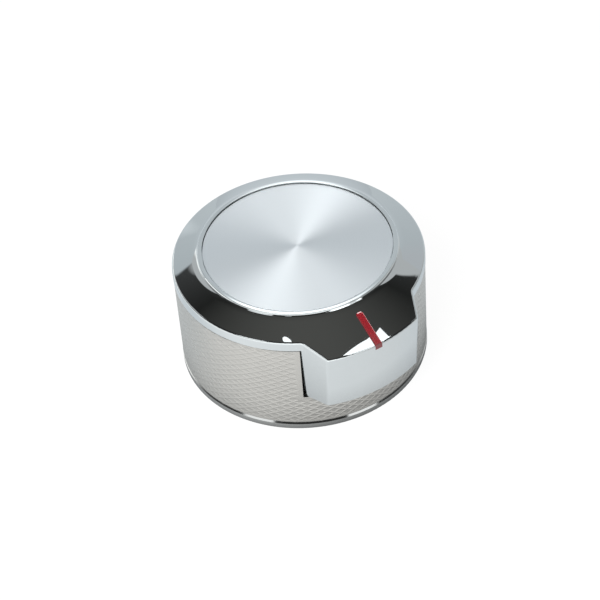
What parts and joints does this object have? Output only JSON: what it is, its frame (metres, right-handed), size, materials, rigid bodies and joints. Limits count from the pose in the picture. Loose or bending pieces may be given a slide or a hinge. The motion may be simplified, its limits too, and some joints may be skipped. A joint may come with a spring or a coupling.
{
  "type": "stove knob",
  "caption": "Round push-on stove knob with a spun metal face, bevelled chrome bezel with a pointer block and red bar, knurled grip sleeve and a hub for a D-shaped stem.",
  "frame": {"origin": "on the stem's axis, in the plane of the base ring's underside and the hub's mouth", "axes": "+Z along the stem's axis away from the appliance, -Y towards the pointer block, +X to the right of a user facing the pointer"},
  "size_m": [0.05, 0.0538, 0.026],
  "materials": {
    "rim_chrome": "bright chrome plate",
    "bezel_chrome": "mirror chrome plate",
    "core_plastic": "moulded, fine grain",
    "adhesive_film": "double-sided adhesive film",
    "spun_aluminium": "spun, fine concentric brushing",
    "screw_steel": "zinc plated",
    "knurled_aluminium": "satin with a fine diamond knurl",
    "red_plastic": "glossy, rounded",
    "spring_steel": "bare spring steel"
  },
  "bodies": {
    "root": {"base_ring": "rim_chrome", "bezel": "bezel_chrome", "core_body": "core_plastic", "disc_film": "adhesive_film", "face_disc": "spun_aluminium", "fixing_screws": "screw_steel", "grip_sleeve": "knurled_aluminium", "pointer_bar": "red_plastic", "stem_spring": "spring_steel"}
  },
  "joints": []
}
